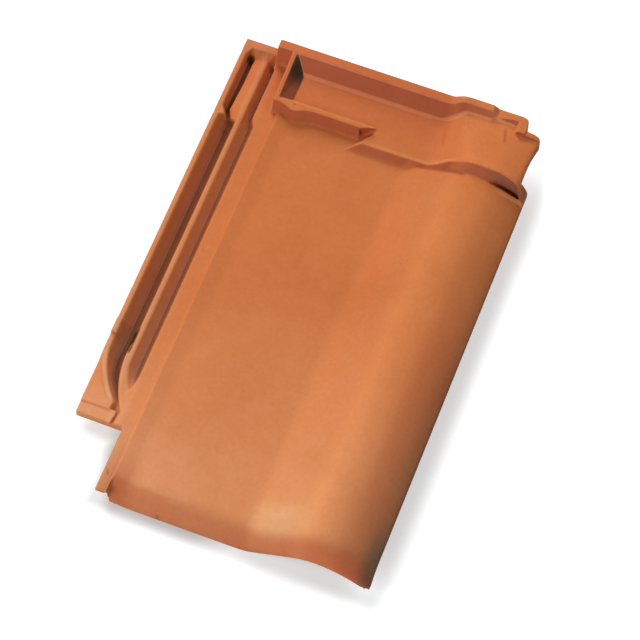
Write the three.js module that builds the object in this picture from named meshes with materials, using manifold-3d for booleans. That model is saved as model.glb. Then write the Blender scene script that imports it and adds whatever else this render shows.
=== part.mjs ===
// Interlocking clay roof tile, one fired piece: a flat pan with a tapered roll on its right,
// a double-rib side lock on its left and a channelled head lock.
// Millimetres. Tile frame while modelling: x from the side lock (0) to the cover edge, y from the
// foot (0) to the head, z up from the surface of the pan. It is centred on its base at the end.
import * as THREE from 'three';
import { mergeVertices } from 'three/addons/utils/BufferGeometryUtils.js';
import Module from 'manifold-3d';

const wasm = await Module();
wasm.setup();

// ---- driving dimensions: the tile -----------------------------------------------------------
const tileLength = 450;
const tileWidth = 286;
const wall = 11;                // thickness of pan, roll and head
const footRadius = 20;          // rounding of the foot edge
const footDepth = 22;           // the foot lip reaches this far under the pan surface
const footLip = 10;             // thickness of the foot lip along y
const footLipBack = 6;          // length of the slope behind it

// ridge along the left of the pan, with the strip on which the neighbour's cover edge lies
const bodyLeft = 43;            // left edge of the body below the side lock
const stripTop = -2;
const stripWall = 4;            // thickness of the strip's end at the foot
const ridgeX = 53;
const ridgeTop = 2.2;
const ridgeDraft = 2;           // width of its left face
const ridgeCrown = 1.5;         // width of its rounded top
const ridgeRound = 0.4;         // and the drop of its left corner
const ridgeSlope = 15;          // width of its fall to the pan

// roll, placed from the cover edge
const rollWidth = 110;
const rollCrestIn = 48;         // from the cover edge to the crest
const rollLeftSlope = 0.55;
const rollRightSlope = 0.92;    // slope that the roll reaches at the cover edge
const rollBlend = 8;            // width of the hollow where the roll leaves the pan
const crestLeft = 20;           // the crest is rounded over this width on its left
const rollHeadScale = 0.62;     // share of the roll's height that is left where the head begins
const edgeRadius = 8;           // rounding of the cover edge, across
const edgeDrop = 2.5;           // and in height
const edgeLip = 9;              // width of the lip under the cover edge
const edgeLipRun = 1;           // width of the lip's inner face
const edgeGap = 1;              // space between the lip and the neighbour's strip
const edgeFootDip = 7;          // the lip hangs lower at the foot

// side lock, from its outer edge inwards
const flangeFoot = 59.5;        // it is cut back this far from the foot
const flangeHeadGap = 1.5;      // and this far from the head
const flangeWall = 9;           // thickness under its plate and its groove floors
const ribWidth = 5;             // top of each lock rib
const ribRound = 1.3;           // rounded corners of the ribs
const outerRibTop = 2;
const innerRibTop = -1;
const outerGroove = 16;         // clear width between the tops of the ribs
const outerGrooveFloor = -11;
const outerGrooveDraft = 8;     // width of the slope of its outer wall
const innerGroove = 12;
const innerGrooveFloor = -9;
const innerGrooveDraft = 7;
const grooveDraft = 2;          // width of the slope of the steep walls
const padFoot = 136;            // raised pad on the outer rib
const padLength = 16;
const padHeight = 2;

// foot end of the side lock: its outer groove swings in and drains through a slot
const plateTop = -2.3;
const plateStep = 1;            // the plate steps down by this at the pocket
const stepRun = 0.6;            // width of such small steps
const seam = 0.3;               // parts of the shape run into each other by this much
const plateLap = 2;             // and plates by this much
const pocketY = 71;
const pocketRise = 2;           // length of the pocket's foot wall
const pocketFloor = -6.5;
const swingLength = 54;         // the grooves curve inwards over this length
const outerSwing = 28;          // sideways travel of the outer groove's left edge
const outerSwingPower = 1.8;    // how late it travels
const ribSwing = 17;            // sideways travel of its right edge
const ribLeave = 15;            // the outer rib leaves the tile's edge this far below the swing's top
const ribLeaveRun = 8;          // and sinks into the plate over this length
const ribSink = 30;             // its foot end sinks over this length
const ribJog = 1.6;             // step in the left side of the inner rib above the swing
const jogAbove = 10;            // the step ends this far above the swing
const jogRun = 4;
const innerSwing = 8;           // sideways travel of the inner groove's left edge
const innerSwingBelow = 9;      // it starts this far below the swing's top
const innerSwingPower = 1.5;
const innerGrooveTip = 92.5;
const innerTipWidth = 3;        // width of the inner groove at its foot end
const tipLength = 16;
const leastGroove = 1;          // no groove gets narrower than this
const leftShare = 0.6;          // shares of a narrow groove that its slopes may take
const rightShare = 0.2;
const pocketLength = 7.5;
const pocketFlare = 8;          // the pocket is this much wider on its left
const slotWidth = 2.6;
const slotDepth = 3.2;
const slotSlant = 0.12;

// head end of the side lock: a raised block narrows the outer groove
const blockFoot = 82.5;         // from the head to the block's foot end
const blockEnd = 2;
const blockLeft = 11;
const lipWidth = 5;             // lips beside the block's foot end
const lipLength = 8;
const headTaper = 2.5;          // the outer groove drifts right along the block
const rimTaper = 1.5;           // and closes at the rim by this many times as much
const headNarrowing = 4;        // the inner groove is narrower beside the block
const blockRibThinning = 2;     // and so is the rib between them
const blockTop = -3.5;
const rimLength = 7.5;          // rim across the head of the side lock
const rimSlope = 7;
const headGrooveFloor = -9;

// head lock, placed from the head and from the cover edge
const channelFloor = 6;
const channelRollFloor = 25;    // at its front; it falls towards the head
const channelRollFall = 6.5;
const bendIn = 96;              // from the cover edge to the start of the channel's bend
const bendWidthFoot = 48;
const bendWidthHead = 22;
const bendWidthFront = 32;      // the front's line swings back over this width
const panEdgeBack = 68;         // from the head to the front of the channel floor over the pan
const rollEdgeBack = 61.5;      // and over the roll
const edgeRun = 8.5;            // length of its sloping front
const edgeRunRight = 2;         // the front is this much longer at the cover edge
const frontBow = 9.5;           // and its upper edge bows this much towards the foot there
const floorThinning = 1;        // the floor is this much thinner along its front
const bodyHeadBack = 62;        // from the head to the end of the cover edge
const bodyUnderHead = 3;        // the pan runs on this far below the channel
const headInset = 5.3;          // the head is narrower than the body on the right
const headWaist = 3.9;          // its right side curves in, drawn towards a point this far in
const waistEnd = 1.9;           // and ends this far in at the body
const headEdgeWidth = 8;
const headEdgePower = 3;        // how late the floor rounds off over that edge
const shoulderIn = 36;          // the channel floor falls from here to the right
const shoulderFall = 5;
const headShoulderFall = 3.5;   // at the head it falls over the same width, from the crest on
const edgeFall = 15;            // and rounds off by this towards the cover edge
const hollowLength = 4.5;       // hollow between the roll and the channel's front
const hollowIn = 38;            // from the cover edge to its left end
const hollowEnd = 3.5;          // and to its right end
const hollowSlant = 5;          // its head side ends this much further left
const hollowDepth = 4;
const hollowTip = 0.1;          // share of its length that it has at the left end
const channelLeft = 47;         // outer face of the channel's left wall
const channelWallTop = 4;
const channelWallRun = 13;      // width of its inner slope
const headRibTop = 17;
const headRibRollTop = 24.5;
const headRibWidth = 8;
const headRibRollWidth = 5.5;
const headRibLean = 1.1;        // its front runs out by this much for each millimetre of height
const headRibToe = 5;           // length of the hollow along its front
const headRibToeRise = 1;
const headRibLeft = 32.4;
const headRibLeftRun = 7;
const headStepIn = 3;           // it steps up over the roll, this far right of the bend's start
const headStepRun = 15;
const notchWidth = 20;          // notch at the right corner of the head
const notchDepth = 12;
const rimTop = 20.8;            // rim round that corner
const rimWidth = 7;
const rimDepth = 4;             // width of the rim along the notch's foot side
const rimFall = 3;              // length of its inner slope
const rimStep = 4.5;            // the head rib falls to it over this width
const rimRun = 3.4;             // length of its slope beside the notch
const rimFrontTop = 19.5;
const rimFrontFall = 3.5;       // fall of that side towards the cover edge
const cornerRadius = 5;
const innerRibBack = 53;        // from the head to the back of the inner head rib
const innerRibTopHead = 11;
const innerRibWidth = 3.8;
const innerRibSink = 4;         // length of the slope behind it
const innerRibEnd = 9.8;        // its front ends this far right of the drain's left end
const innerRibEndBack = 20.2;   // and its back
const innerRibEndRun = 1.5;     // width of its slanted end
const bossX = 20;               // the rib swells to a boss, this far from its left end
const bossSpread = 9;
const bossDepth = 4.5;
const bossFade = 0.03;          // share of the boss at which it ends
const nailMarkRadius = 2.2;
const drainX = 118;             // left end of the sloping front, beside the drain
const drainSlant = 0.625;
const drainRun = 7.5;           // the channel floor falls to the pan over this width
const drainAhead = 3.5;         // its line starts this far before the sloping front

// underside
const nibPlaces = [70, 142];    // left edges of the two batten nibs
const nibWidth = 34;
const nibLength = 14;
const nibDraft = 2;
const nibBackDraft = 4;
const nibBack = 38;             // from the head to the face that rests on the batten
const coverOverlap = 50.5;      // neighbouring tiles of a course share this width
const lockClearance = 4;        // between the cover ribs and the groove floors
const outerCoverRib = 6;        // widths of the cover ribs
const innerCoverRib = 4;
const coverRibDraft = 1.5;

// ---- derived places -------------------------------------------------------------------------
const footLevel = -footDepth;
const rollStart = tileWidth - rollWidth;
const crestX = tileWidth - rollCrestIn;
const panEdgeY = tileLength - panEdgeBack;
const rollEdgeY = tileLength - rollEdgeBack;
const bodyHead = tileLength - bodyHeadBack;
const headRight = tileWidth - headInset;
const notchX = tileWidth - notchWidth;
const notchY = tileLength - notchDepth;
const ribBackY = tileLength - innerRibBack;
const bendStart = tileWidth - bendIn;
const flangeHead = tileLength - flangeHeadGap;
const coverPitch = tileWidth - coverOverlap;
const edgeBottom = stripTop + edgeGap;

// ---- helpers --------------------------------------------------------------------------------
function clamp01(t) {
  return Math.min(1, Math.max(0, t));
}

function lerp(a, b, t) {
  return a + (b - a) * t;
}

function smooth(t) {
  const s = clamp01(t);
  return s * s * (3 - 2 * s);
}

// evenly spaced values from a to b
function spread(a, b, count) {
  return Array.from({ length: count + 1 }, (_, i) => lerp(a, b, i / count));
}

function stations(...values) {
  return [...new Set(values)].sort((a, b) => a - b);
}

function toSolid(geometry) {
  const bare = geometry.clone();
  bare.deleteAttribute('normal');
  bare.deleteAttribute('uv');
  const merged = mergeVertices(bare, 1e-4);
  return new wasm.Manifold(new wasm.Mesh({
    numProp: 3,
    vertProperties: Float32Array.from(merged.attributes.position.array),
    triVerts: Uint32Array.from(merged.index.array),
  }));
}

// A box bent to shape: us and vs are the stations along x and y, and place gives the point
// of the upper or the lower face at a station.
function slab(us, vs, place) {
  const geometry = new THREE.BoxGeometry(1, 1, 1, us.length - 1, vs.length - 1, 1);
  const position = geometry.attributes.position;
  for (let i = 0; i < position.count; i++) {
    const u = us[Math.round((position.getX(i) + 0.5) * (us.length - 1))];
    const v = vs[Math.round((position.getY(i) + 0.5) * (vs.length - 1))];
    const [x, y, z] = place(u, v, position.getZ(i) > 0);
    position.setXYZ(i, x, y, z);
  }
  return toSolid(geometry);
}

// drop of a quarter-round edge at a distance from it
function quarterDrop(distance, radius) {
  const d = Math.min(Math.max(distance, 0), radius);
  return radius - Math.sqrt(radius * radius - (radius - d) ** 2);
}

// ---- body: pan, ridge and roll --------------------------------------------------------------
const crestStartX = crestX - crestLeft;
const crestHeight = rollLeftSlope * (crestStartX - rollStart) + rollLeftSlope * crestLeft / 2;

// height of the roll over the pan at the foot
function rollHeight(x) {
  const hollow = x - rollStart + rollBlend / 2;
  if (hollow <= 0) {
    return 0;
  }
  if (hollow <= rollBlend) {
    return rollLeftSlope * hollow ** 2 / (2 * rollBlend);
  }
  if (x <= crestStartX) {
    return rollLeftSlope * (x - rollStart);
  }
  const slope = x <= crestX ? rollLeftSlope / crestLeft : rollRightSlope / rollCrestIn;
  return crestHeight - slope * (x - crestX) ** 2 / 2;
}

// surface of pan, ridge and roll, before foot and cover edge are rounded
function bodySurface(x, y) {
  if (x < ridgeX + ridgeSlope) {
    const crown = ridgeTop - ridgeRound * (1 - clamp01((x - ridgeX) / ridgeCrown));
    const fall = clamp01((x - ridgeX - ridgeCrown) / (ridgeSlope - ridgeCrown));
    const left = clamp01((x - ridgeX + ridgeDraft) / ridgeDraft);
    return lerp(stripTop, crown, left) * (1 - fall);
  }
  const t = clamp01((y - footRadius) / (panEdgeY - footRadius));
  return rollHeight(x) * lerp(1, rollHeadScale, t);
}

// strip and ridge run on straight to the foot, where the rest is rounded over
function bodyTop(x, y) {
  const edge = quarterDrop(tileWidth - x, edgeRadius) * edgeDrop / edgeRadius;
  const foot = x <= ridgeX ? 0 : quarterDrop(y, footRadius);
  return bodySurface(x, y) - foot - edge;
}

function bodyBottom(x, y) {
  const surface = bodySurface(x, y);
  const lip = clamp01((footLip + footLipBack - y) / footLipBack);
  const depth = lerp(wall, x <= ridgeX ? stripWall : footDepth, lip);
  const bottom = Math.max(surface - depth, footLevel);
  if (x >= tileWidth - edgeLip) {
    return edgeBottom - Math.min(edgeFootDip, quarterDrop(y, footRadius));
  }
  return x > crestX ? Math.max(bottom, lerp(edgeBottom, footLevel, lip)) : bottom;
}

function body() {
  const blend = rollBlend / 2;
  const us = stations(bodyLeft, ridgeX - ridgeDraft, ridgeX, ridgeX + ridgeCrown,
    ...spread(ridgeX + ridgeCrown, ridgeX + ridgeSlope, 3), (ridgeX + rollStart) / 2,
    ...spread(rollStart - blend, rollStart + blend, 4), (rollStart + crestStartX) / 2,
    ...spread(crestStartX, crestX, 6), ...spread(crestX, tileWidth - edgeLip - edgeLipRun, 10),
    tileWidth - edgeLip, ...spread(0, Math.PI / 2, 6).map((a) => tileWidth - edgeRadius * (1 - Math.sin(a))));
  const vs = stations(...spread(0, Math.PI / 2, 9).map((a) => footRadius * (1 - Math.cos(a))),
    footLip, footLip + footLipBack, ...spread(flangeFoot, panEdgeY - edgeRun, 6), bodyHead);
  return slab(us, vs, (x, v, top) => {
    const y = v === bodyHead && x < rollStart ? ribBackY + bodyUnderHead : v;
    return [x, y, top ? bodyTop(x, y) : bodyBottom(x, y)];
  });
}

// ---- side lock ------------------------------------------------------------------------------
const groove1Right = ribWidth + outerGroove;
const groove2Left = groove1Right + ribWidth;
const groove2Right = groove2Left + innerGroove;
const floor1Centre = (ribWidth + outerGrooveDraft + groove1Right - grooveDraft) / 2;
const floor2Centre = (groove2Left + innerGrooveDraft + groove2Right - grooveDraft) / 2;
const swingTop = pocketY + swingLength;
const pocketEnd = pocketY + pocketRise;
const blockY = tileLength - blockFoot;
const rimY = flangeHead - rimLength;
const ribLeaves = swingTop - ribLeave;
const jogTop = swingTop + jogAbove;

// 0 above the swung part of the grooves, 1 at the pocket
function swing(y) {
  return clamp01((swingTop - y) / swingLength);
}

// 0 below the head block, 1 along it, rising over a length
function block(y, length) {
  return clamp01((y - blockY) / length);
}

// 0 up to the rim across the head, 1 on the rim
function rim(y) {
  return clamp01((y - rimY + rimSlope) / rimSlope);
}

// plan of the two grooves: left and right edge at y
function groove1LeftX(y) {
  const flare = pocketFlare * clamp01((pocketY + pocketLength - y) / pocketLength);
  const lip = lipWidth * Math.min(block(y, blockEnd), 1 - block(y - blockEnd, lipLength));
  return ribWidth + outerSwing * swing(y) ** outerSwingPower - flare + lip + headTaper * rim(y);
}

function groove1RightX(y) {
  const jog = ribJog * clamp01((jogTop - y) / jogRun);
  const foot = groove1Right - jog + ribSwing * swing(y) ** 2;
  const head = lerp(groove1Right - lipWidth, blockLeft, block(y - blockEnd, lipLength));
  const taper = headTaper * (block(y, blockFoot / 2) - rimTaper * rim(y));
  return lerp(foot, head, block(y, blockEnd)) + taper;
}

function groove2LeftX(y) {
  const start = swingTop - innerSwingBelow;
  const swung = clamp01((start - y) / (start - innerGrooveTip)) ** innerSwingPower;
  const ribRight = groove1RightX(y) + ribWidth - blockRibThinning * block(y, blockEnd);
  return Math.max(groove2Left + innerSwing * swung, ribRight);
}

function groove2RightX(y) {
  const foot = clamp01((innerGrooveTip + tipLength - y) / tipLength);
  const narrowing = (innerGroove - innerSwing - innerTipWidth) * foot + headNarrowing * block(y, lipLength);
  return Math.max(groove2Right - narrowing, groove2LeftX(y) + leastGroove);
}

function innerRibLeftX(y) {
  return lerp(groove1RightX(y) + ribRound, groove1Right + ribRound, block(y, blockEnd));
}

// Widths of the slopes beside the two groove floors; in a narrow stretch they share its width.
function draft1(y) {
  const left = lerp(lerp(outerGrooveDraft, grooveDraft, swing(y)), grooveDraft, block(y, blockEnd));
  const width = groove1RightX(y) - groove1LeftX(y);
  return { left: Math.min(left, width * leftShare), right: Math.min(grooveDraft, width * rightShare) };
}

function draft2(y) {
  const width = groove2RightX(y) - groove2LeftX(y);
  const left = Math.min(innerGrooveDraft, width * leftShare);
  return { left, right: Math.min(grooveDraft, width * rightShare) };
}

// top of the plate left of the slot, and of the strip right of it
function plate(x, y) {
  if (x > groove2Left + innerSwing - ribRound) {
    return stripTop;
  }
  return y < pocketY ? plateTop - plateStep : plateTop;
}

// heights of the outer rib, of the outer groove's floor and of the wall beside the inner rib
function outerRib(y) {
  if (y < padFoot) {
    return outerRibTop - ribRound / 2;
  }
  return y < padFoot + padLength ? outerRibTop + padHeight : outerRibTop;
}

function groove1Floor(y) {
  const foot = lerp(pocketFloor, outerGrooveFloor, smooth((y - pocketEnd) / (swingLength / 2)));
  return lerp(foot, headGrooveFloor, block(y, blockEnd));
}

// A line along the side lock. It lies at x(y) and has the height z(y) between its two ends: it
// rises from the plate over a length, and at the head it runs into the rim.
function lockLine(x, z, footY, length, hasRim = true) {
  return (y) => {
    const foot = lerp(plate(x(y), y), z(y), clamp01((y - footY) / length));
    return [x(y), hasRim ? lerp(foot, outerRibTop, rim(y)) : foot];
  };
}

const lockLines = [
  lockLine(() => 0, (y) => outerRib(y) - ribRound, ribLeaves, ribLeaveRun),
  lockLine((y) => Math.max(ribRound / 3, groove1LeftX(y) - ribWidth - ribRound),
    (y) => outerRib(y) - ribRound / 3, ribLeaves, ribLeaveRun),
  lockLine((y) => Math.max(ribRound, groove1LeftX(y) - ribWidth + ribRound), outerRib, pocketEnd, ribSink),
  lockLine((y) => groove1LeftX(y) - ribRound / 2, outerRib, pocketEnd, ribSink),
  lockLine((y) => groove1LeftX(y) + ribRound / 2, (y) => outerRib(y) - ribRound, pocketEnd, ribSink),
  lockLine((y) => groove1LeftX(y) + draft1(y).left, groove1Floor, pocketY, pocketRise),
  lockLine((y) => groove1RightX(y) - draft1(y).right, groove1Floor, pocketY, pocketRise),
  lockLine(groove1RightX, (y) => lerp(innerRibTop - ribRound / 2, blockTop, block(y, blockEnd)),
    pocketEnd, ribSink),
  lockLine(innerRibLeftX, () => innerRibTop, pocketEnd, ribSink),
  lockLine((y) => groove2LeftX(y) - ribRound, () => innerRibTop, innerGrooveTip, ribSink),
  lockLine(groove2LeftX, () => innerRibTop - ribRound / 2, innerGrooveTip, ribSink),
  lockLine((y) => groove2LeftX(y) + draft2(y).left, () => innerGrooveFloor, innerGrooveTip, tipLength),
  lockLine((y) => groove2RightX(y) - draft2(y).right, () => innerGrooveFloor, innerGrooveTip, tipLength),
  lockLine(groove2RightX, () => stripTop - ribRound / 2, innerGrooveTip, tipLength),
  lockLine((y) => Math.max(groove2RightX(y), groove2Right * block(y, lipLength)) + ribRound, () => stripTop,
    flangeFoot, stepRun, false),
  lockLine(() => ridgeX, () => stripTop, flangeFoot, stepRun, false),
];

// underside of the side lock, which follows the grooves and is flat at the foot
const lockUnderside = [[0, outerGrooveFloor], [wall / 2, outerGrooveFloor - flangeWall],
  [groove1Right, outerGrooveFloor - flangeWall], [groove2Right, innerGrooveFloor - flangeWall],
  [ridgeX, stripTop - wall]];

function lockBottom(x, y) {
  const i = Math.max(1, lockUnderside.findIndex(([px]) => x <= px));
  const [x0, z0] = lockUnderside[i - 1];
  const [x1, z1] = lockUnderside[i];
  const deep = lerp(z0, z1, (x - x0) / (x1 - x0));
  return lerp(plateTop - plateStep - flangeWall, deep, smooth((y - flangeFoot) / swingLength));
}

function sideLock() {
  const ys = stations(flangeFoot, pocketY - stepRun, pocketY, pocketEnd,
    ...spread(pocketY + pocketLength, swingTop, 10), innerGrooveTip, jogTop - jogRun, jogTop,
    padFoot - stepRun, padFoot, padFoot + padLength - stepRun, padFoot + padLength, (padFoot + blockY) / 2,
    blockY, blockY + blockEnd, ...spread(blockY + blockEnd, blockY + blockEnd + lipLength, 2),
    blockY + blockFoot / 2, rimY - rimSlope, rimY, flangeHead);
  return slab([...lockLines.keys()], ys, (i, y, top) => {
    const [x, z] = lockLines[i](y);
    return [x, y, top ? z : lockBottom(x, y)];
  });
}

// slot through which the outer groove drains over the foot end
function drainSlot() {
  const half = slotWidth / 2;
  return slab([-half, half], [flangeFoot - 1, pocketEnd], (u, y, top) => {
    const x = groove2Left + innerSwing + slotSlant * (y - pocketY) + u;
    return [x, y, top ? outerRibTop : stripTop - slotDepth];
  });
}

// ---- head lock ------------------------------------------------------------------------------
// right end of the bend that lifts the channel floor over the roll
function bendEnd(y) {
  return bendStart + lerp(bendWidthFoot, bendWidthHead, clamp01((y - rollEdgeY) / (notchY - rollEdgeY)));
}

// floor of the head channel
function headFloor(x, y) {
  const t = clamp01((y - rollEdgeY) / (notchY - rollEdgeY));
  const height = channelRollFloor - channelRollFall * t - channelFloor;
  const rise = height * smooth((x - bendStart) / (bendEnd(y) - bendStart));
  const shoulder = clamp01((x - tileWidth + shoulderIn) / (shoulderIn - headInset));
  const round = clamp01((x - headRight + headEdgeWidth) / (headInset + headEdgeWidth)) ** headEdgePower;
  const footFall = shoulderFall * shoulder ** 2 + edgeFall * round;
  const headFall = headShoulderFall * smooth((x - crestX + rimStep) / shoulderIn) + edgeFall * round / 2;
  return channelFloor + rise - lerp(footFall, headFall, t);
}

// front of the channel floor: where it leaves the body, and its upper edge
function headFront(x) {
  const t = smooth((x - bendStart) / bendWidthFront);
  const right = clamp01((x - crestX) / (tileWidth - crestX));
  const edge = lerp(panEdgeY, rollEdgeY, t);
  return { base: edge - edgeRun - edgeRunRight * right, edge: edge - frontBow * right ** 3 };
}

// the drain: the channel floor falls to the pan on the left of this line
function drainLine(y) {
  return drainX + (y - panEdgeY + edgeRun + drainAhead) * drainSlant;
}

// the lapped part of the underside stays clear of the neighbour's side lock
function lappedBottom(x, z) {
  return x > coverPitch - edgeGap ? Math.max(z, outerRibTop + edgeGap) : z;
}

const bendX = spread(bendStart, bendStart + bendWidthFoot, 20);

function headPlate() {
  const floorX = stations((drainX + bendStart) / 2, rollStart - rollBlend / 2, rollStart + rollBlend / 2,
    ...bendX, ...spread(bendStart + bendWidthFoot, headRight - headEdgeWidth, 5),
    ...spread(headRight - headEdgeWidth, tileWidth, 8));
  const us = ['pan', 'floor', ...floorX];
  const floorY = spread(ribBackY, notchY, 8);
  const vs = ['base', 'edge', bodyHead + edgeRunRight, ribBackY - stepRun, ...floorY, tileLength];
  return slab(us, vs, (u, v, top) => {
    const onDrain = typeof u === 'string';
    const y = typeof v === 'string' ? headFront(onDrain ? 0 : u)[v] : v;
    const behindRib = onDrain && y >= ribBackY;
    let x = onDrain ? drainLine(y) + (u === 'floor' ? drainRun : 0) : u;
    if (behindRib) {
      x = u === 'floor' ? drainX + drainRun : drainX;
    }
    const surface = bodySurface(x, y);
    const low = v === 'base' || (u === 'pan' && !behindRib);
    const floor = headFloor(x, y);
    const under = typeof v === 'string' ? Math.min(surface, floor) - wall + floorThinning : floor - wall;
    return [x, y, top ? (low ? surface - seam : floor) : lappedBottom(x, under)];
  });
}

// channel floor behind the inner head rib
function headPlateLeft() {
  return slab([channelLeft, drainX + drainRun + plateLap], [ribBackY - innerRibSink, tileLength],
    (x, y, top) => [x, y, top ? channelFloor : channelFloor - wall]);
}

// hollow that parts the end of the roll from the front of the channel
function endHollow() {
  const left = tileWidth - hollowIn;
  const right = tileWidth - hollowEnd;
  return slab(spread(left, right, 8), [0, hollowLength], (x, v, top) => {
    const t = (x - left) / (right - left);
    const opened = smooth(2 * t);
    const y = headFront(x).base + v * lerp(hollowTip, 1, opened);
    const z = top ? channelRollFloor : bodySurface(x, y) - hollowDepth * opened;
    return [x - hollowSlant * t * v / hollowLength, y, z];
  });
}

function headRibHeight(x) {
  return lerp(headRibTop, headRibRollTop, smooth((x - bendStart - headStepIn) / headStepRun));
}

function headRib() {
  const us = stations(headRibLeft, channelLeft - stepRun, channelLeft, channelLeft + channelWallRun, drainX,
    ...bendX.filter((x) => x < crestX - rimStep), crestX - rimStep, crestX, (crestX + notchX) / 2, notchX);
  return slab(us, ['toe', 'base', 'top', 'back'], (x, v, top) => {
    const isLeft = x < channelLeft;
    const narrowed = smooth((x - bendStart) / bendWidthHead);
    const stepped = clamp01((x - crestX + rimStep) / rimStep);
    const front = tileLength - lerp(headRibWidth, headRibRollWidth, narrowed);
    const height = lerp(headRibHeight(x), rimTop, stepped);
    const steep = (headRibHeight(x) - headFloor(x, notchY)) * headRibLean;
    const run = isLeft ? headRibLeftRun : lerp(steep, rimRun, stepped);
    const y = { toe: front - run - headRibToe, base: front - run, top: front, back: tileLength }[v];
    const floor = isLeft ? stripTop : headFloor(x, Math.min(y, notchY));
    const z = { toe: floor - seam, base: floor + headRibToeRise, top: height, back: height }[v];
    return [x, y, top ? z : lappedBottom(x, floor - wall + seam)];
  });
}

// rim round the notch of the right corner; it follows the plan of the corner
function cornerRim() {
  const inner = notchX - rimWidth;
  const side = slab([inner - rimFall, inner, notchX], [notchY - rimDepth, tileLength], (x, y, top) => {
    const floor = headFloor(x, notchY);
    return [x, y, top ? (x < inner ? floor - seam : rimTop) : lappedBottom(x, floor - wall + seam)];
  });
  const us = stations(notchX - rimFall, ...spread(notchX, headRight, 4));
  const front = slab(us, ['base', 'top', 'back'], (x, v, top) => {
    const floor = headFloor(x, notchY);
    const y = { base: notchY - rimDepth - rimFall, top: notchY - rimDepth, back: notchY }[v];
    const rimZ = rimFrontTop - rimFrontFall * clamp01((x - notchX) / (headRight - notchX)) ** 2;
    return [x, y, top ? (v === 'base' ? floor - seam : rimZ) : lappedBottom(x, floor - wall + seam)];
  });
  return side.add(front);
}

// everything outside the rounded plan of the head's right corner
function cornerWaste() {
  const far = tileWidth + wall;
  const shape = new THREE.Shape();
  shape.moveTo(notchX - cornerRadius, tileLength + wall);
  shape.lineTo(notchX - cornerRadius, tileLength);
  shape.absarc(notchX - cornerRadius, tileLength - cornerRadius, cornerRadius, Math.PI / 2, 0, true);
  shape.lineTo(notchX, notchY);
  shape.lineTo(headRight - cornerRadius, notchY);
  shape.absarc(headRight - cornerRadius, notchY - cornerRadius, cornerRadius, Math.PI / 2, 0, true);
  shape.quadraticCurveTo(headRight - headWaist, (notchY + bodyHead) / 2, headRight - waistEnd, bodyHead);
  shape.lineTo(far, bodyHead);
  shape.lineTo(far, tileLength + wall);
  const depth = footDepth + wall + headRibRollTop;
  const geometry = new THREE.ExtrudeGeometry(shape, { depth, bevelEnabled: false, curveSegments: 6 });
  return toSolid(geometry.translate(0, 0, footLevel));
}

// left wall of the channel; its crest falls to the height of the inner head rib
function channelWall() {
  const crestRight = channelLeft + channelWallTop;
  const start = ribBackY - innerRibWidth / 2;
  const end = tileLength - headRibWidth;
  return slab([channelLeft, crestRight, crestRight + channelWallRun], [start, end], (x, y, top) => {
    const crest = lerp(innerRibTopHead, headRibTop, (y - start) / (end - start));
    return [x, y, top ? (x > crestRight ? channelFloor - seam : crest) : channelFloor - wall];
  });
}

// inner head rib, left of the drain; it swells to a boss near its left end
function innerHeadRib() {
  const bossRight = channelLeft + 2 * bossX + wall / 2;
  const us = [...spread(channelLeft, bossRight, 16), (bossRight + drainX) / 2, 'end'];
  const endX = {
    base: innerRibEnd + innerRibEndRun,
    front: innerRibEnd,
    back: innerRibEndBack,
    heel: innerRibEndBack + 2 * innerRibEndRun,
  };
  const swell = (x, at) => {
    const bell = Math.exp(-(((x - channelLeft - at) / bossSpread) ** 2));
    return bossDepth * Math.max(0, bell - bossFade);
  };
  return slab(us, ['base', 'front', 'back', 'heel'], (u, v, top) => {
    const x = u === 'end' ? drainX + endX[v] : u;
    const boss = u === 'end' ? 0 : swell(x, v === 'base' ? bossX + innerRibWidth : bossX);
    const y = ribBackY + {
      base: -innerRibWidth / 2 - drainRun - boss,
      front: seam - innerRibWidth - boss,
      back: seam,
      heel: innerRibSink,
    }[v];
    const z = { base: -seam, front: innerRibTopHead, back: innerRibTopHead, heel: channelFloor - seam }[v];
    return [x, y, top ? z : -wall];
  });
}

// mark for a nail, sunk into the boss
function nailMark() {
  const geometry = new THREE.SphereGeometry(nailMarkRadius, 12, 8);
  const y = ribBackY - innerRibWidth / 2;
  return toSolid(geometry.translate(channelLeft + bossX, y, innerRibTopHead + nailMarkRadius / 2));
}

// ---- underside ------------------------------------------------------------------------------
function battenNib(x) {
  const root = channelFloor - wall + plateLap;
  const nibY = tileLength - nibBack;
  return slab([0, nibWidth], [nibY, nibY + nibLength], (u, v, top) => {
    const side = u === 0 ? nibDraft : -nibDraft;
    const back = v > nibY ? -nibBackDraft : 0;
    return [x + u + (top ? 0 : side), v + (top ? 0 : back), top ? root : footLevel];
  });
}

// A rib under the roll that drops into a groove of the neighbour's side lock. It runs between
// the swung foot end of the groove and the block at its head.
function coverRib(x, width, bottom) {
  const half = width / 2;
  const us = [-half - coverRibDraft, -half, half, half + coverRibDraft];
  return slab(us, spread(jogTop, blockY - grooveDraft, 5), (u, y, top) => {
    const roof = bodySurface(x + u, y) - wall / 2;
    return [x + u, y, top ? roof : (Math.abs(u) > half ? roof - wall : bottom)];
  });
}

// ---- the tile -------------------------------------------------------------------------------
function tile() {
  let solid = body().add(sideLock()).subtract(drainSlot());
  solid = solid.add(headPlate()).add(headPlateLeft()).subtract(endHollow());
  solid = solid.add(headRib()).add(cornerRim()).add(channelWall()).add(innerHeadRib());
  solid = solid.subtract(cornerWaste()).subtract(nailMark());
  for (const x of nibPlaces) {
    solid = solid.add(battenNib(x));
  }
  solid = solid.add(coverRib(coverPitch + floor1Centre, outerCoverRib, outerGrooveFloor + lockClearance));
  solid = solid.add(coverRib(coverPitch + floor2Centre, innerCoverRib, innerGrooveFloor + lockClearance));
  return solid;
}

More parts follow.
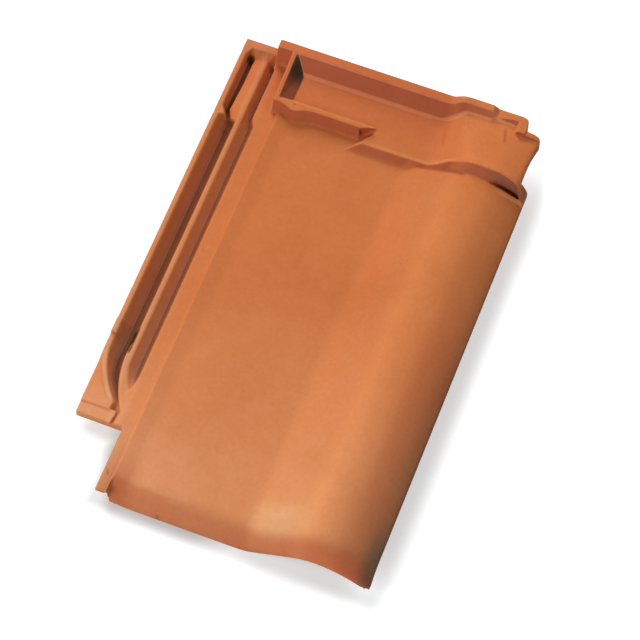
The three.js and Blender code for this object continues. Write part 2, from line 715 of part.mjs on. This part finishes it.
function toMesh(solid, name, material) {
  const mesh = solid.getMesh();
  const geometry = new THREE.BufferGeometry();
  geometry.setAttribute('position', new THREE.BufferAttribute(mesh.vertProperties, 3));
  geometry.setIndex(new THREE.BufferAttribute(mesh.triVerts, 1));
  geometry.translate(-tileWidth / 2, -tileLength / 2, footDepth);
  geometry.computeVertexNormals();
  const object = new THREE.Mesh(geometry, material);
  object.name = name;
  return object;
}

const firedClay = new THREE.MeshStandardMaterial({ color: 0xc8703e, roughness: 0.8, metalness: 0 });
const part = new THREE.Group();
part.add(toMesh(tile(), 'roof_tile', firedClay));
export default part;
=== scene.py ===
"""Interlocking clay roof tile: the fired piece with its soft moulded edges, its clay finish,
a pale floor, studio lamps and the camera. Metres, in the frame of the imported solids: x runs from
the side lock to the cover edge, y from the foot to the head, z up from the floor."""
import math
from collections import namedtuple

import bpy
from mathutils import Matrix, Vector


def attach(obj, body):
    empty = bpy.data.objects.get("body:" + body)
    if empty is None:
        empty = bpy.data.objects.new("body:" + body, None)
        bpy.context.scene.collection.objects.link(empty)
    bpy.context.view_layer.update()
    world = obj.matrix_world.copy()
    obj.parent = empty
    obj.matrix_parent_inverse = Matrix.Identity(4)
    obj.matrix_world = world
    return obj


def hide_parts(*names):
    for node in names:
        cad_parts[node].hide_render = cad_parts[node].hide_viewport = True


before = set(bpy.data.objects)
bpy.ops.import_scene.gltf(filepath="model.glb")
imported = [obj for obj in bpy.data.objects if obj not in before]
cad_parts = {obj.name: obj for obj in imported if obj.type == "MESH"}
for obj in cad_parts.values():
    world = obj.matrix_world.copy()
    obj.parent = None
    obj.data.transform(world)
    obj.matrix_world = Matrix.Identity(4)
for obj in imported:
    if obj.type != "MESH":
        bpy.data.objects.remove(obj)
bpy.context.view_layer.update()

# ---- sizes, in metres ----------------------------------------------------------------------
MM = 0.001
GRAIN_OF_FORM = 0.75 * MM       # cell of the voxel remesh that softens every moulded edge
EDGE_PASSES = 2                 # smoothing passes over the whole piece
BROAD_PASSES = 110              # more of them on the broad curved surfaces
SMOOTH_SHARE = 0.5              # how far one pass moves a vertex towards its neighbours
MERGE_DISTANCE = 0.005 * MM     # corners of the solid's faces that are one point
TRIANGLE_LIMIT = 194000

# the broad surfaces, in from their edges: pan with roll, and the channel floor over the roll
BROAD_FIELDS = ((-87, 137.5, -224, 145), (40, 132, 168, 203))
BROAD_UP = 0.55                 # they face upwards at least this much

# ---- clay: colours on screen, 0 to 255 --------------------------------------------------------
CLAY_DEEP = (197, 109, 57)
CLAY_LIGHT = (204, 115, 62)
MOTTLE = (214, 134, 84)
SAND = (170, 92, 52)
FLECK = (120, 66, 42)
# outer edges: rubbed wear and a painted highlight where they catch the light
RUBBED_EDGE_HIGHLIGHT = (232, 163, 120)
# inner edges: painted shade in the creases
INNER_EDGE_SHADE = (190, 98, 64)

# ---- clay: tints, as shares of red, green and blue; most are painted sheen, highlight or shade ---
GRIT = (1.035, 1.06, 1.1)
# painted sheen: the clay paler towards the foot
FOOT_SHEEN = (1.06, 1.38, 1.88)
# painted sheen on the flat pan near the foot
PAN_FOOT_SHEEN = (1.07, 1.18, 1.35)
# painted sheen on the roll's left flank near the foot
ROLL_FOOT_SHEEN = (1.01, 1.1, 1.12)
ROLL_HEAD = (1.02, 1.1, 1.16)
# painted shade on the floor next to the head rib
CHANNEL_FLOOR_SHADE = (0.96, 0.86, 0.92)
# painted highlight along the roll's crest
ROLL_CREST_HIGHLIGHT = (1.08, 1.08, 1.05)
# painted shade on the roll's far flank towards the foot
COVER_SIDE_SHADE = (0.98, 0.86, 0.87)
# painted shade, greyer, at the cover edge
COVER_EDGE_SHADE = (0.78, 0.9, 1.0)
# painted shade where the roll's foot turns away from the light
ROLL_BROW_SHADE = (1.0, 0.84, 0.8)
# painted shade on steep faces in the corner by the strip's foot
PAN_CORNER_SHADE = (0.84, 0.72, 0.69)
STRIP_FOOT = (0.86, 0.95, 0.97)
# painted shade on the foot's rounding
ROUNDING_SHADE = (0.98, 0.87, 0.92)
# painted sheen, a patch of highlight on the roll's foot
SHEEN_PATCH = (1.04, 1.22, 1.4)
# painted shade on the steep corner at the foot of the cover edge
FOOT_CORNER_SHADE = (0.58, 0.8, 0.95)
# painted sheen on the flange towards the foot
FLANGE_SHEEN = (1.05, 1.12, 1.22)
# painted shade on the cover edge's side
RIM_SHADE = (0.5, 0.55, 0.65)
# painted shade, redder, on walls that face the foot
WALL_SHADE = (0.92, 0.8, 1.1)
# painted shade in the hollow beside the roll's step
HOLLOW_WALL_SHADE = (0.66, 0.95, 1.25)
# painted highlight along the fillet at the walls' feet
WALL_FOOT_HIGHLIGHT = (1.2, 1.4, 1.9)
# painted shade of a low step, on a surface that is flat
LOW_STEP_SHADE = (0.62, 0.45, 0.52)
# painted highlight along the brink of the step
BRINK_HIGHLIGHT = (1.1, 1.2, 1.4)
# painted highlight on the roll's lip below the wall
ROLL_LIP_HIGHLIGHT = (1.35, 1.6, 2.0)
# painted shadow on the channel's left cheek
CHEEK_SHADOW = (0.45, 0.42, 0.6)
# painted shadow, darkest, next to the head rib
CHEEK_END_SHADOW = (0.22, 0.4, 0.5)
# painted shade, greyer, on the grooves' sloping walls
GROOVE_SLOPE_SHADE = (0.87, 1.06, 2.0)
# painted shade, dark, on the grooves' floors
GROOVE_FLOOR_SHADE = (0.36, 0.38, 0.47)
# painted shadow at the kink of the middle rib
RIB_KINK_SHADOW = (0.32, 0.26, 0.22)
# painted shade in the groove's head end
GROOVE_END_SHADE = (0.4, 0.4, 0.5)
# painted highlight on the rib tops
RIB_TOP_HIGHLIGHT = (1.02, 1.25, 1.6)
MARK = (0.72, 0.55, 0.45)

# small marks pressed into the clay, in mm: from (x, y) to (x, y), width, strength
MARKS = (
    (106.3, 207, 108.6, 197.5, 5, 0.8),
    (73.4, 203, 75.5, 197, 3, 0.25),
    (55, 194, 58.5, 181, 5, 0.25),
    (-142, -88.2, -136.5, -89.7, 3.2, 1.0),
    (-96.3, -206, -95.2, -209, 2.8, 0.9),
    (-45.5, -224.5, -44, -224.8, 2.4, 0.7),
)
EDGE_SHARE = 0.35               # of the edge colours: rubbed wear and painted highlight on outer edges, painted shade in inner edges
BUMP_STRENGTH = 0.3
BUMP_DEPTH = 0.1 * MM
CLAY_IOR = 1.45
CLAY_SHEEN = 0.12

# where a point of the clay is, in mm, and how much its surface faces along x, y and z
Site = namedtuple("Site", "x y z rightwards headwards upwards")

# ---- floor, surround and lamps, in mm on the floor and metres for the lamps ------------------
FLOOR_SIZE = 8
FLOOR_TONE = (0.765, 0.8, 0.81)
GLOW_FOOT = 0.0                 # glow of the floor close to the foot,
GLOW_ROLL = 0.32                # under the foot of the roll,
GLOW_SIDE = 0.45                # beside the cover edge
GLOW_LOCK = 0.24                # beside the side lock
GLOW_CLEAR = 0.75               # and clear of the tile
GLOW_START = 2                  # mm outside the tile where it begins to rise
GLOW_END = 22
HALF_WIDTH = 143
HALF_LENGTH = 225
FLANGE_RIGHT = -101             # the corner that is cut away at the foot of the side lock
FLANGE_FOOT = -165
ROLL_RISE = (-20, 30)           # x over which the foot rises from the pan to the roll
COVER_RISE = (105, 135)         # x at which the cover edge begins
COVER_FOOT = (-238, -205)       # y at which the cover edge begins
LOCK_RISE = (-95, -120)         # x at which the side lock begins
SURROUND_LEVEL = 0.02

# name, direction from the tile, distance, size, level
LAMPS = (
    ("key_lamp", (-0.433, 0.75, 0.5), 2.4, 1.2, 0.93),
    ("back_lamp", (0.612, 0.354, 0.707), 2.4, 1.2, 0.29),
    ("fill_lamp", (-0.55, -0.6, 0.55), 0.983, 0.5, 0.527),
    ("front_lamp", (-0.1, -0.8, 0.5), 0.949, 0.5, 0.13),
)

# ---- camera --------------------------------------------------------------------------------
CAMERA_TARGET = Vector((28.1, -39.28, 77.2)) * MM
CAMERA_TURN = math.radians(21.107)
CAMERA_RISE = math.radians(63.688)
CAMERA_DISTANCE = 2.41191
CAMERA_LENS = 163.66
CAMERA_SENSOR = 36
CAMERA_REACH = 50


# ---- shader maths --------------------------------------------------------------------------
class Value:
    """A socket of a node tree that takes part in plain arithmetic."""

    def __init__(self, tree, socket):
        self.tree = tree
        self.socket = socket

    def maths(self, operation, *others, swap=False):
        values = [self, *others]
        if swap:
            values.reverse()
        return self.tree.node("ShaderNodeMath", {"operation": operation}, dict(enumerate(values)))

    def __add__(self, other):
        return self.maths("ADD", other)

    def __radd__(self, other):
        return self.maths("ADD", other, swap=True)

    def __sub__(self, other):
        return self.maths("SUBTRACT", other)

    def __rsub__(self, other):
        return self.maths("SUBTRACT", other, swap=True)

    def __mul__(self, other):
        return self.maths("MULTIPLY", other)

    def __rmul__(self, other):
        return self.maths("MULTIPLY", other, swap=True)

    def __pow__(self, other):
        return self.maths("POWER", other)

    def __abs__(self):
        return self.maths("ABSOLUTE")

    def between(self, low, high):
        """0 at low, 1 at high, smooth in between; low may be the larger one."""
        if low > high:
            return 1 - self.between(high, low)
        return self.tree.node("ShaderNodeMapRange", {"interpolation_type": "SMOOTHSTEP"},
                              {0: self, 1: low, 2: high})

    def within(self, low, high, fade):
        """1 from low to high, fading to 0 outside."""
        return self.between(low - fade, low) * self.between(high + fade, high)


class Finish:
    """A material's node tree; node() adds any node and returns its output as a Value."""

    def __init__(self, name):
        self.material = bpy.data.materials.new(name)
        self.material.use_nodes = True
        self.tree = self.material.node_tree
        self.tree.nodes.clear()

    def node(self, kind, settings, sockets, output=0):
        made = self.tree.nodes.new(kind)
        for name, value in settings.items():
            setattr(made, name, value)
        for key, value in sockets.items():
            target = made.inputs[key]
            if isinstance(value, Value):
                self.tree.links.new(value.socket, target)
            else:
                target.default_value = value
        return Value(self, made.outputs[output]) if made.outputs else None

    def mix(self, factor, first, second, blend="MIX"):
        return self.node("ShaderNodeMix", {"data_type": "RGBA", "blend_type": blend},
                         {0: factor, 6: first, 7: second}, output=2)

    def tint(self, factor, colour, shares):
        """The colour times these shares of red, green and blue, where the factor is 1."""
        return self.mix(factor, colour, (*shares, 1), blend="MULTIPLY")

    def noise(self, place, scale, detail=3.0, roughness=0.5):
        return self.node("ShaderNodeTexNoise", {}, {
            "Vector": place, "Scale": scale, "Detail": detail, "Roughness": roughness})

    def parts(self, vector):
        return [self.node("ShaderNodeSeparateXYZ", {}, {0: vector}, output=axis)
                for axis in range(3)]


def rgb(red, green, blue):
    """A colour written in screen values 0 to 255, as the linear colour of a socket."""
    def linear(value):
        share = value / 255
        return share / 12.92 if share <= 0.04045 else ((share + 0.055) / 1.055) ** 2.4
    return (linear(red), linear(green), linear(blue), 1)


def grey(level):
    return (level, level, level, 1)


def stroke(x, y, left, foot, right, head, width):
    """1 along the line from (left, foot) to (right, head), fading out at half the width."""
    run, rise = right - left, head - foot
    length = math.hypot(run, rise)
    along = ((x - left) * run + (y - foot) * rise) * (1 / length)
    off = abs((y - foot) * run - (x - left) * rise) * (1 / length)
    return off.between(width / 2, 0) * along.within(0, length, width)


# ---- fired clay ----------------------------------------------------------------------------
def painted_sheen_and_shade(clay, colour, site):
    """Painted sheen, paler towards the foot, so the head keeps the redder clay; a painted highlight
    on the roll's crest; painted shade on the channel floor by the head rib, on the cover side and
    edge and on the rounded foot. Paler midway along the roll, less red on the strip at the foot.
    """
    x, y, _, _, headwards, upwards = site
    flat = upwards.between(0.93, 0.99)
    # painted sheen, growing towards the foot
    colour = clay.tint(y.between(60, -215), colour, FOOT_SHEEN)
    # painted sheen on the flat pan near the foot
    colour = clay.tint(y.between(-130, -200) * x.between(0, -60) * flat, colour, PAN_FOOT_SHEEN)
    # painted sheen on the roll's left flank near the foot
    colour = clay.tint(y.between(-120, -205) * x.within(40, 80, 12), colour, ROLL_FOOT_SHEEN)
    colour = clay.tint(y.within(20, 110, 70) * x.between(50, 80), colour, ROLL_HEAD)
    # painted shade: the floor darker towards the head rib, which keeps light off it
    floor = y.between(160, 195) * x.between(61, 57) * upwards.between(0.7, 0.9)
    colour = clay.tint(floor, colour, CHANNEL_FLOOR_SHADE)
    # painted highlight along the roll's crest
    colour = clay.tint(x.within(82, 106, 14), colour, ROLL_CREST_HIGHLIGHT)
    # painted shade on the roll's far flank and at the cover edge, which face away from the lamps
    colour = clay.tint(x.between(100, 126) * y.between(60, -20), colour, COVER_SIDE_SHADE)
    colour = clay.tint(x.between(124, 142) * y.between(120, -60), colour, COVER_EDGE_SHADE)

    # the foot, where it is rounded over, with painted shade on faces turned from the lamps
    # painted shade on the roll's rounded foot, which faces away from the lamps
    brow_shade = headwards.between(-0.15, -0.7) * y.between(-195, -205) * x.between(5, 55)
    colour = clay.tint(brow_shade, colour, ROLL_BROW_SHADE)
    # painted shade on the steep faces of the corner by the strip's foot
    pan_corner_shade = x.within(-90, -82, 18) * y.between(-170, -214) * upwards.between(-0.1, 0.2)
    colour = clay.tint(pan_corner_shade, colour, PAN_CORNER_SHADE)
    colour = clay.tint(x.between(-89, -92) * y.between(-150, -190), colour, STRIP_FOOT)
    # painted shade on the foot's rounding, where it faces away from the lamps
    rounding_shade = headwards.between(-0.15, -0.8) * y.between(-205, -212)
    colour = clay.tint(rounding_shade, colour, ROUNDING_SHADE)
    return colour, flat


def painted_sheen_and_side_shade(clay, colour, site, flat, mottle):
    """A painted sheen patch on the foot of the roll and on the flange; painted shade on the steep
    corner at the foot of the cover edge and on the cover edge's side.
    """
    x, y, _, rightwards, _, upwards = site
    # painted sheen: an oval patch of highlight on the roll's foot
    across = (x - 53) * (1 / 36)
    along = (y + 202) * (1 / 22)
    sheen_patch = (across * across + along * along).between(1.0, 0.0) * (0.4 + mottle)
    colour = clay.tint(sheen_patch * upwards.between(0.2, 0.5), colour, SHEEN_PATCH)
    # painted shade on the steep faces at the foot of the cover edge
    corner = x.between(126, 139) * y.between(-165, -205) * upwards.between(-0.3, 0.1)
    colour = clay.tint(corner, colour, FOOT_CORNER_SHADE)
    # painted sheen on the flat flange towards the foot
    flange_sheen = x.between(-100, -105) * y.between(-80, -150) * flat
    colour = clay.tint(flange_sheen, colour, FLANGE_SHEEN)
    # painted shade on the cover edge's side, which faces away from the lamps
    rim_shade = rightwards.between(0.7, 0.95) * x.between(130, 136)
    return clay.tint(rim_shade, colour, RIM_SHADE)


def head_lock(clay, colour, site):
    """Painted shade, redder, on the walls that face the foot, deepest in the hollow beside the
    roll's step; painted highlights along the walls' feet, the step's brink and the roll's lip; the
    head rib's painted shadow on the channel's left cheek.
    """
    x, y, z, rightwards, headwards, upwards = site
    # painted shade, redder, on the walls that face the foot
    front = upwards.between(0.9, 0.8) * z.between(22, 25) * y.between(120, 130)
    front = front * headwards.between(-0.3, -0.6)
    colour = clay.tint(front, colour, WALL_SHADE)
    # painted shade, deeper, on the wall in the hollow beside the roll's step
    colour = clay.tint(front * y.between(180, 170) * x.between(95, 130), colour, HOLLOW_WALL_SHADE)
    # painted highlight along the fillet at the foot of the walls
    wall_foot_highlight = headwards.within(-0.56, -0.24, 0.06) * y.between(192, 198)
    colour = clay.tint(wall_foot_highlight * z.between(25, 27), colour, WALL_FOOT_HIGHLIGHT)

    # painted shade standing in for the roll's step, where it runs on, low, to the end of the
    # channel's front wall; the form is flat there. A painted highlight runs along its brink.
    brink = 157 + ((x - 53) * 0.33).maths("MAXIMUM", 0).maths("MINIMUM", 5.5)
    low_step_shade = y.between(151, 154.5) * (brink - y).between(-1, 1) * headwards.between(-0.6, -0.2)
    colour = clay.tint(low_step_shade * x.within(40, 84, 6), colour, LOW_STEP_SHADE)
    # painted highlight along the brink of the painted step
    colour = clay.tint((y - brink).within(1, 3, 1) * x.within(-4, 72, 6), colour, BRINK_HIGHLIGHT)
    # painted highlight on the roll's lip below the wall
    lip_highlight = y.within(149, 152.5, 1) * x.between(112, 130) * upwards.between(0.4, 0.6)
    colour = clay.tint(lip_highlight, colour, ROLL_LIP_HIGHLIGHT)

    # left cheek of the channel, with the head rib's painted shadow on it
    cheek_shadow = rightwards.between(0.2, 0.34) * x.within(-92, -79, 1.5) * y.within(163, 214, 3)
    cheek_shadow = cheek_shadow * z.between(24, 26)
    colour = clay.tint(cheek_shadow * z.between(40, 34), colour, CHEEK_SHADOW)
    return clay.tint(cheek_shadow * y.between(184, 202), colour, CHEEK_END_SHADOW)


def side_lock(clay, colour, site):
    """Painted shade in the grooves, on a kink of the middle rib and at a groove's head end; a
    painted highlight on the rib tops.
    """
    x, y, z, rightwards, _, upwards = site
    lock = x.within(-138, -104, 3) * y.within(-164, 216, 2)
    # painted shade deep in the grooves of the side lock
    groove_shade = z.between(19.5, 12) * upwards.between(-0.3, -0.1) * lock
    slope = rightwards.between(0.2, 0.6)
    colour = clay.tint(groove_shade * slope, colour, GROOVE_SLOPE_SHADE)
    colour = clay.tint(groove_shade * (1 - slope), colour, GROOVE_FLOOR_SHADE)
    # painted shadow on the steep faces at the kink of the middle rib
    rib_kink_shadow = x.within(-126, -121.5, 1) * y.within(-98, -78, 4) * upwards.between(-0.1, 0.2)
    colour = clay.tint(rib_kink_shadow, colour, RIB_KINK_SHADOW)
    # painted shade deep in the head end of the outer groove
    groove_end_shade = x.within(-138, -128, 2) * y.within(206, 216, 2) * z.between(19.5, 16)
    groove_end_shade = groove_end_shade * upwards.between(-0.3, -0.1)
    colour = clay.tint(groove_end_shade, colour, GROOVE_END_SHADE)
    # painted highlight on the upward faces of the rib tops
    rib_highlight = z.between(20.2, 20.8) * upwards.between(0.5, 0.9) * x.between(-113, -116)
    return clay.tint(rib_highlight, colour, RIB_TOP_HIGHLIGHT)


def fired_clay():
    clay = Finish("fired_clay")
    place = clay.node("ShaderNodeTexCoord", {}, {}, output="Object")
    facing = clay.node("ShaderNodeTexCoord", {}, {}, output="Normal")
    site = Site(*[part * (1 / MM) for part in clay.parts(place)], *clay.parts(facing))
    cloud = clay.noise(place, 11, detail=2)
    mottle = clay.noise(place, 60, detail=3, roughness=0.55)
    grit = clay.noise(place, 260, detail=2, roughness=0.6)
    sand = clay.noise(place, 900, detail=2, roughness=0.7)
    fleck = clay.node("ShaderNodeTexVoronoi", {}, {"Vector": place, "Scale": 260, "Randomness": 1})
    sort = clay.noise(place, 320, detail=0)

    colour = clay.mix(cloud.between(0.3, 0.7), rgb(*CLAY_DEEP), rgb(*CLAY_LIGHT))
    colour = clay.mix(mottle.between(0.35, 0.75) * 0.14, colour, rgb(*MOTTLE))
    colour = clay.mix(sand.between(0.45, 0.75) * 0.10, colour, rgb(*SAND))
    colour = clay.tint(grit.between(0.3, 0.7), colour, GRIT)
    dark = fleck.between(0.2, 0.0) * sort.between(0.62, 0.7)
    colour = clay.mix(dark * 0.35, colour, rgb(*FLECK))

    colour, flat = painted_sheen_and_shade(clay, colour, site)
    colour = painted_sheen_and_side_shade(clay, colour, site, flat, mottle)
    colour = head_lock(clay, colour, site)
    colour = side_lock(clay, colour, site)
    for *line, width, strength in MARKS:
        colour = clay.tint(stroke(site.x, site.y, *line, width) * strength, colour, MARK)

    edge = clay.node("ShaderNodeNewGeometry", {}, {}, output="Pointiness")
    # outer edges paler, rubbed wear and painted highlight; inner edges darker, painted shade in the
    # creases
    colour = clay.mix(edge.between(0.51, 0.56) * EDGE_SHARE, colour, rgb(*RUBBED_EDGE_HIGHLIGHT))
    colour = clay.mix(edge.between(0.49, 0.43) * EDGE_SHARE, colour, rgb(*INNER_EDGE_SHADE))

    rough = 0.55 + mottle * 0.1 + sand * 0.06
    relief = sand * 0.5 + mottle * 1.2 - dark * 0.8
    bump = clay.node("ShaderNodeBump", {}, {
        "Strength": BUMP_STRENGTH, "Distance": BUMP_DEPTH, "Height": relief})
    shader = clay.node("ShaderNodeBsdfPrincipled", {}, {
        "Base Color": colour, "Roughness": rough, "Normal": bump, "IOR": CLAY_IOR,
        "Specular IOR Level": CLAY_SHEEN})
    clay.node("ShaderNodeOutputMaterial", {}, {"Surface": shader})
    return clay.material


# ---- the tile ------------------------------------------------------------------------------
def only(thing):
    """Leaves this one object selected and active."""
    bpy.ops.object.select_all(action="DESELECT")
    thing.select_set(True)
    bpy.context.view_layer.objects.active = thing


def apply_modifier(thing, kind, **settings):
    modifier = thing.modifiers.new(kind.lower(), kind)
    for name, value in settings.items():
        setattr(modifier, name, value)
    bpy.ops.object.modifier_apply(modifier=modifier.name)


def fired_piece(solid):
    """The tile with its moulded edges: a merged copy of the solid, remeshed fine and smoothed."""
    tile = bpy.data.objects.new("tile_clay_body", solid.data.copy())
    bpy.context.scene.collection.objects.link(tile)
    only(tile)
    bpy.ops.object.mode_set(mode="EDIT")
    bpy.ops.mesh.select_all(action="SELECT")
    bpy.ops.mesh.remove_doubles(threshold=MERGE_DISTANCE)
    bpy.ops.object.mode_set(mode="OBJECT")
    apply_modifier(tile, "REMESH", mode="VOXEL", voxel_size=GRAIN_OF_FORM, adaptivity=0)
    broad = tile.vertex_groups.new(name="broad")
    broad.add([v.index for v in tile.data.vertices if is_broad(v)], 1, "REPLACE")
    apply_modifier(tile, "SMOOTH", factor=SMOOTH_SHARE, iterations=EDGE_PASSES)
    apply_modifier(tile, "SMOOTH", factor=SMOOTH_SHARE, iterations=BROAD_PASSES,
                   vertex_group="broad")
    triangles = 2 * len(tile.data.polygons)
    apply_modifier(tile, "DECIMATE", ratio=min(1, TRIANGLE_LIMIT / triangles))
    tile.vertex_groups.clear()
    bpy.ops.object.shade_smooth()
    return tile


def is_broad(vertex):
    x, y, z = vertex.co / MM
    inside = any(left < x < right and foot < y < head for left, right, foot, head in BROAD_FIELDS)
    return inside and vertex.normal.z > BROAD_UP


tile = fired_piece(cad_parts["roof_tile"])
tile.data.materials.clear()
tile.data.materials.append(fired_clay())
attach(tile, "root")
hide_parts("roof_tile")


# ---- floor, surround, lamps and camera -------------------------------------------------------
def seen_directly(finish):
    """1 for rays from the camera and for what a gloss or a clear body shows, else 0."""
    rays = [finish.node("ShaderNodeLightPath", {}, {}, output=name)
            for name in ("Is Camera Ray", "Is Glossy Ray", "Is Transmission Ray")]
    return rays[0].maths("MAXIMUM", rays[1]).maths("MAXIMUM", rays[2])


def pale_floor():
    """A matt floor that is white to the eye; its glow fades in around the tile, past the shadow."""
    bpy.ops.mesh.primitive_plane_add(size=FLOOR_SIZE, location=(0, 0, 0))
    floor = bpy.context.object
    floor.name = "studio_floor"
    white = Finish("pale_floor")
    matt = white.node("ShaderNodeBsdfDiffuse", {}, {"Color": (*FLOOR_TONE, 1)})
    place = white.node("ShaderNodeTexCoord", {}, {}, output="Object")
    x, y = [part * (1 / MM) for part in white.parts(place)[:2]]
    beside = (abs(x) - HALF_WIDTH).maths("MAXIMUM", 0.0)
    beyond = (abs(y) - HALF_LENGTH).maths("MAXIMUM", 0.0)
    corner = (FLANGE_RIGHT - x).maths("MINIMUM", FLANGE_FOOT - y)
    clear = ((beside * beside + beyond * beyond) ** 0.5).maths("MAXIMUM", corner)
    near = white.mix(x.between(*ROLL_RISE), grey(GLOW_FOOT), grey(GLOW_ROLL))
    near = white.mix(x.between(*COVER_RISE) * y.between(*COVER_FOOT), near, grey(GLOW_SIDE))
    near = white.mix(x.between(*LOCK_RISE), near, grey(GLOW_LOCK))
    tone = white.mix(clear.between(GLOW_START, GLOW_END), near, grey(GLOW_CLEAR))
    glow = white.node("ShaderNodeEmission", {}, {"Color": tone, "Strength": seen_directly(white)})
    both = white.node("ShaderNodeAddShader", {}, {0: matt, 1: glow})
    white.node("ShaderNodeOutputMaterial", {}, {"Surface": both})
    floor.data.materials.append(white.material)


def area_lamp(name, direction, distance, size, level):
    """A square lamp aimed at the tile; level 1 lights a plain surface about as it is written."""
    light = bpy.data.lights.new(name, "AREA")
    light.shape = "SQUARE"
    light.size = size
    light.energy = level * (math.pi * distance) ** 2
    lamp = bpy.data.objects.new(name, light)
    bpy.context.scene.collection.objects.link(lamp)
    towards = Vector(direction).normalized()
    lamp.location = towards * distance
    lamp.rotation_euler = (-towards).to_track_quat("-Z", "Y").to_euler()


pale_floor()
for lamp_facts in LAMPS:
    area_lamp(*lamp_facts)

world = bpy.data.worlds.new("studio_air")
bpy.context.scene.world = world
world.use_nodes = True
air = world.node_tree.nodes["Background"]
air.inputs["Color"].default_value = (1, 1, 1, 1)
air.inputs["Strength"].default_value = SURROUND_LEVEL

camera = bpy.data.cameras.new("studio_camera")
camera.sensor_width = CAMERA_SENSOR
camera.lens = CAMERA_LENS
camera.clip_end = CAMERA_REACH
viewer = bpy.data.objects.new("studio_camera", camera)
bpy.context.scene.collection.objects.link(viewer)
viewer.rotation_euler = (math.pi / 2 - CAMERA_RISE, 0, CAMERA_TURN)
back = viewer.rotation_euler.to_matrix() @ Vector((0, 0, 1))
viewer.location = CAMERA_TARGET + back * CAMERA_DISTANCE
bpy.context.scene.camera = viewer
bpy.context.scene.view_settings.view_transform = "Standard"
